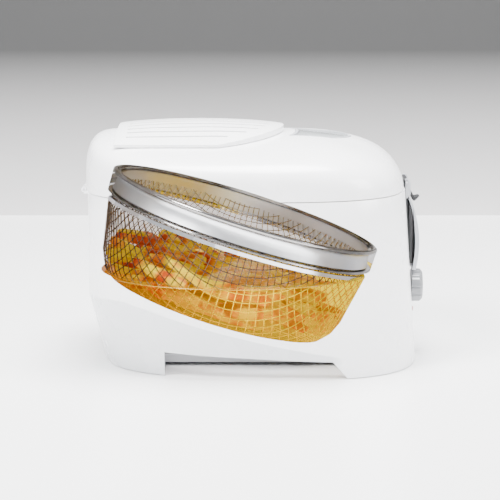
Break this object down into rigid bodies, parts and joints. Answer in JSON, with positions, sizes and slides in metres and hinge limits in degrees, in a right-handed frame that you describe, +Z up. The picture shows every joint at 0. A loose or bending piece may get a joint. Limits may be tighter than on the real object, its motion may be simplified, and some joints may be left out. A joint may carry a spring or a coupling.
{
  "type": "deep fryer",
  "caption": "White deep fryer with a tilted rotating wire basket in a bowl, hinged lid with window and filter cover, folding lift handle, knob and a display cutaway.",
  "frame": {"origin": "on the table, under the middle of the fryer", "axes": "+X to the front (handle and knob), -Y the near side with the cutaway, +Z up"},
  "size_m": [0.3543, 0.315, 0.245],
  "materials": {
    "white_plastic": "glossy moulded white plastic",
    "light_grey_plastic": "satin light grey plastic",
    "grey_plastic": "satin mid grey plastic",
    "black_plastic": "black moulded plastic",
    "rubber": "black rubber",
    "steel": "bright steel",
    "aluminium": "satin aluminium",
    "window_glass": "clear glass",
    "red_lens": "red lens",
    "brass": "turned brass",
    "charcoal": "active charcoal felt",
    "silicone": "pale silicone",
    "ceramic": "white ceramic",
    "nylon": "natural nylon"
  },
  "bodies": {
    "casing": {"outer_casing": "white_plastic", "base_plate": "light_grey_plastic", "bowl": "aluminium", "inner_collar": "light_grey_plastic", "heating_element": "steel", "thermal_fuse": "ceramic", "shaft_bush": "brass", "shaft_seal": "silicone", "gear_motor": "steel", "motor_bracket": "steel", "thermostat": "black_plastic", "pilot_lens": "red_lens", "pilot_lamp": "ceramic", "terminal_block": "ceramic", "cord_inlet": "black_plastic", "lid_hinge_pin": "steel", "handle_bracket_near": "light_grey_plastic", "handle_bracket_far": "light_grey_plastic", "handle_pivot_pin": "steel", "base_screw_front_far": "steel", "rubber_foot_front_far": "rubber", "base_screw_rear_far": "steel", "rubber_foot_rear_far": "rubber", "base_screw_rear_near": "steel", "rubber_foot_rear_near": "rubber", "base_screw_front_near": "steel", "rubber_foot_front_near": "rubber"},
    "lid": {"lid_shell": "white_plastic", "window_frame": "light_grey_plastic", "window_glass": "window_glass", "lid_liner": "aluminium", "charcoal_filter": "charcoal", "foam_filter": "silicone", "lid_gasket": "silicone", "lid_latch_hook": "light_grey_plastic"},
    "filter_cover_body": {"filter_cover": "white_plastic"},
    "cradle": {"basket_cradle": "steel"},
    "basket": {"basket_ring": "steel", "wire_basket": "steel", "basket_hub": "steel"},
    "drive": {"drive_shaft": "steel", "drive_gear": "nylon"},
    "pinion": {"motor_pinion": "brass"},
    "knob": {"thermostat_knob": "grey_plastic", "knob_spindle": "steel"},
    "handle": {"handle_grip": "black_plastic", "handle_shell": "light_grey_plastic"},
    "slider": {"handle_slider": "black_plastic"},
    "release_button": {"lid_release_button": "light_grey_plastic"}
  },
  "joints": [
    {"name": "lid_hinge", "type": "hinge", "parent": "casing", "child": "lid", "pos_m": [-0.175, 0, 0.1775], "axis": [0, -1, 0], "range_deg": [0, 85]},
    {"name": "filter_cover_hinge", "type": "hinge", "parent": "lid", "child": "filter_cover_body", "pos_m": [-0.142, 0, 0.2342], "axis": [0, -1, 0], "range_deg": [0, 70]},
    {"name": "basket_lift", "type": "slide", "parent": "casing", "child": "cradle", "axis": [0.299, 0, 0.9542], "range_m": [0, 0.022]},
    {"name": "basket_spin", "type": "hinge", "parent": "cradle", "child": "basket", "pos_m": [-0.016, 0, 0.13], "axis": [0.299, 0, 0.9542], "continuous": true},
    {"name": "drive_spin", "type": "hinge", "parent": "casing", "child": "drive", "pos_m": [-0.016, 0, 0.13], "axis": [0.299, 0, 0.9542], "continuous": true},
    {"name": "pinion_spin", "type": "hinge", "parent": "casing", "child": "pinion", "pos_m": [-0.0389, 0, 0.13718], "axis": [0.299, 0, 0.9542], "continuous": true},
    {"name": "handle_hinge", "type": "hinge", "parent": "casing", "child": "handle", "pos_m": [0.1575, 0, 0.1815], "axis": [0, -1, 0], "range_deg": [0, 85]},
    {"name": "handle_slider_slide", "type": "slide", "parent": "handle", "child": "slider", "axis": [0.4226, 0, -0.9063], "range_m": [0, 0.005], "stiffness_N_per_m": 150},
    {"name": "thermostat_turn", "type": "hinge", "parent": "casing", "child": "knob", "pos_m": [0.1647, 0, 0.0695], "axis": [1, 0, 0], "range_deg": [0, 300]},
    {"name": "release_button_press", "type": "slide", "parent": "casing", "child": "release_button", "axis": [-1, 0, 0], "range_m": [0, 0.0025], "stiffness_N_per_m": 400}
  ],
  "couplings": [
    {"joint": "handle_hinge", "follows": "basket_lift", "rad_per_m": 67.4},
    {"joint": "drive_spin", "follows": "basket_spin", "ratio": 1},
    {"joint": "pinion_spin", "follows": "basket_spin", "ratio": -4}
  ]
}
